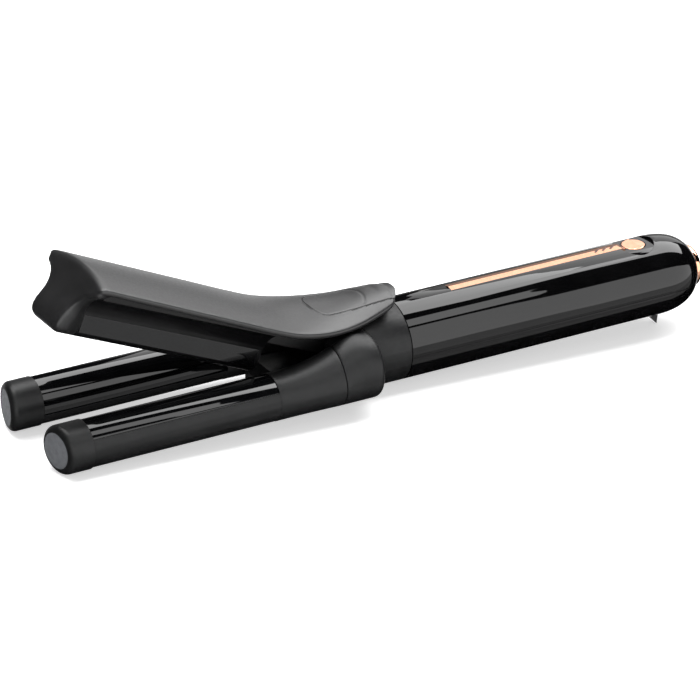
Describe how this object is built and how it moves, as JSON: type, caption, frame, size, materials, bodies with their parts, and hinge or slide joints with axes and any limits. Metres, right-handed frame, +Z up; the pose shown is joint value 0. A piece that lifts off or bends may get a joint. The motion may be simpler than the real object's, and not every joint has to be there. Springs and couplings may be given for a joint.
{
  "type": "curling iron",
  "caption": "Hand-held hair waving iron: a hinged jaw with a thumb lever closes between two parallel heated barrels on a round grip with a heat dial.",
  "frame": {"origin": "on the table it stands on, under the middle of its bounding box", "axes": "+X towards the butt and the cord inlet, +Z up; the iron stands on its two cool tips and the fin under the butt, so the grip slopes up towards the butt"},
  "size_m": [0.3022, 0.0626, 0.075],
  "materials": {
    "gloss_black": "glossy",
    "matte_black": "satin",
    "rose_gold": "polished",
    "heated_plate": "glossy ceramic coating",
    "tip_grey": "satin",
    "lens": "clear",
    "steel": "satin",
    "ceramic": "matte",
    "board": "satin",
    "component": "satin"
  },
  "bodies": {
    "handle": {"handle_upper_shell": "gloss_black", "handle_lower_shell": "gloss_black", "handle_screws": "steel", "accent_strip": "rose_gold", "indicator_lenses": "lens", "dial_bezel": "gloss_black", "rotary_control": "component", "circuit_board": "board", "power_capacitor": "component", "heater_switch": "component", "butt_ring": "rose_gold", "neck_collar": "matte_black", "base_housing": "matte_black", "base_bottom_cover": "matte_black", "base_screws": "steel", "hinge_pin": "steel", "left_barrel_plate": "heated_plate", "left_barrel_shield": "matte_black", "left_barrel_heater": "ceramic", "left_tip_cap": "matte_black", "left_tip_disc": "tip_grey", "right_barrel_plate": "heated_plate", "right_barrel_shield": "matte_black", "right_barrel_heater": "ceramic", "right_tip_cap": "matte_black", "right_tip_disc": "tip_grey"},
    "jaw": {"jaw_cover": "matte_black", "jaw_keel": "matte_black", "left_jaw_plate": "heated_plate", "right_jaw_plate": "heated_plate", "jaw_heater": "ceramic", "thumb_pad": "matte_black", "jaw_screws": "steel", "torsion_spring": "steel"},
    "dial": {"dial_knob": "rose_gold", "dial_shaft": "steel"},
    "swivel": {"cord_swivel": "matte_black"}
  },
  "joints": [
    {"name": "jaw_hinge", "type": "hinge", "parent": "handle", "child": "jaw", "pos_m": [-0.02128, 0, 0.02444], "axis": [0, 1, 0], "range_deg": [-23.5, 0], "stiffness_Nm_per_rad": 0.25, "springref_deg": -57.3},
    {"name": "dial_turn", "type": "hinge", "parent": "handle", "child": "dial", "pos_m": [0.12149, 0, 0.03539], "axis": [-0.0416, 0, 0.9991], "range_deg": [-135, 0]},
    {"name": "cord_swivel_turn", "type": "hinge", "parent": "handle", "child": "swivel", "pos_m": [0.14895, 0, 0.02252], "axis": [0.9991, 0, 0.0416], "continuous": true}
  ]
}
